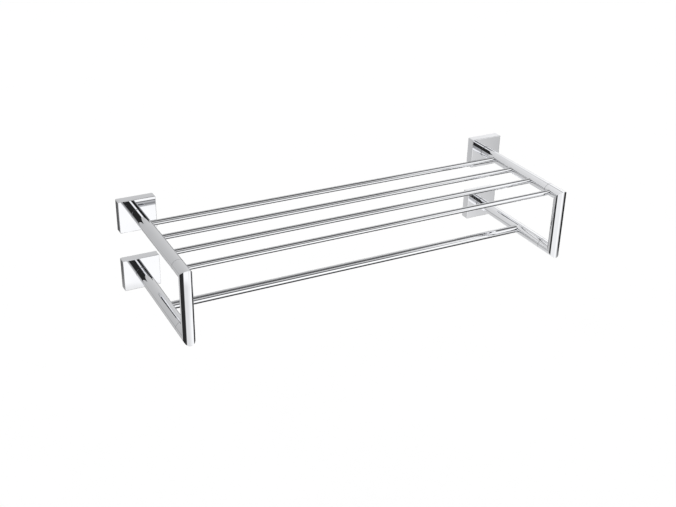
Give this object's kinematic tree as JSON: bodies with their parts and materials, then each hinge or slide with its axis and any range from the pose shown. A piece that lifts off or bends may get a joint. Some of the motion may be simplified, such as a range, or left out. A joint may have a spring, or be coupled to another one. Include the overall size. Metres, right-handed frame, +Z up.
{
  "type": "towel rack",
  "caption": "Chromed wall towel rack: an open shelf of slim rails above a towel bar, carried by mitred tube side frames on four wall rosettes.",
  "frame": {"origin": "on the wall plane, midway between the four rosettes", "axes": "+X along the rails to the right, +Y into the wall, +Z up; the rack stands out towards -Y"},
  "size_m": [0.655, 0.221, 0.143],
  "materials": {
    "chrome": "polished chrome plate on brass",
    "bracket_steel": "zinc-plated folded steel",
    "brass": "turned brass",
    "screw_steel": "stainless steel"
  },
  "bodies": {
    "root": {"rosette_upper_left": "chrome", "wall_bracket_upper_left": "bracket_steel", "arm_upper_left": "chrome", "arm_plug_upper_left": "brass", "seam_spigot_upper_left": "brass", "rosette_upper_right": "chrome", "wall_bracket_upper_right": "bracket_steel", "arm_upper_right": "chrome", "arm_plug_upper_right": "brass", "seam_spigot_upper_right": "brass", "rosette_lower_left": "chrome", "wall_bracket_lower_left": "bracket_steel", "arm_lower_left": "chrome", "arm_plug_lower_left": "brass", "seam_spigot_lower_left": "brass", "rosette_lower_right": "chrome", "wall_bracket_lower_right": "bracket_steel", "arm_lower_right": "chrome", "arm_plug_lower_right": "brass", "seam_spigot_lower_right": "brass", "front_bow_left": "chrome", "front_bow_right": "chrome", "shelf_rail_1": "chrome", "shelf_rail_2": "chrome", "shelf_rail_3": "chrome", "shelf_rail_4": "chrome", "towel_bar": "chrome", "arm_screws": "screw_steel", "grub_screws": "screw_steel"}
  },
  "joints": []
}
